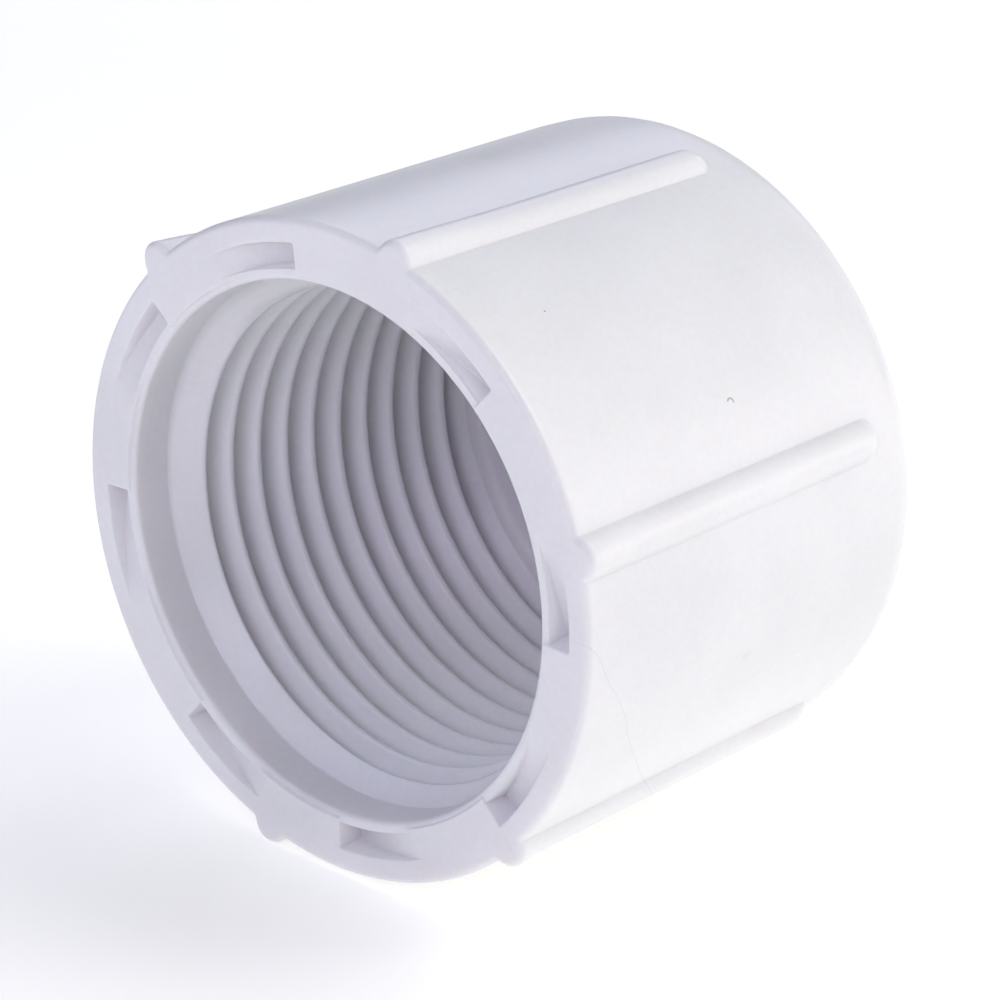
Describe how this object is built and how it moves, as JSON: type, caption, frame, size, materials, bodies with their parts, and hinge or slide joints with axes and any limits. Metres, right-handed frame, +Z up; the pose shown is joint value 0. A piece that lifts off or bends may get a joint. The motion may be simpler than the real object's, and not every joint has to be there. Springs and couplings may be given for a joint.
{
  "type": "threaded pipe cap",
  "caption": "Round plastic pipe cap with a female pipe thread, a plain counterbore at its open mouth, a closed far end and straight grip ribs along its outside.",
  "frame": {"origin": "on the surface that the cap lies on, under the middle of its length and straight below its axis", "axes": "+Y along the cap's axis from the open mouth to the closed end, +Z up, +X to the right when looking into the mouth"},
  "size_m": [0.0411, 0.031, 0.041],
  "materials": {
    "white_pvc": "satin"
  },
  "bodies": {
    "root": {"threaded_cap": "white_pvc"}
  },
  "joints": []
}
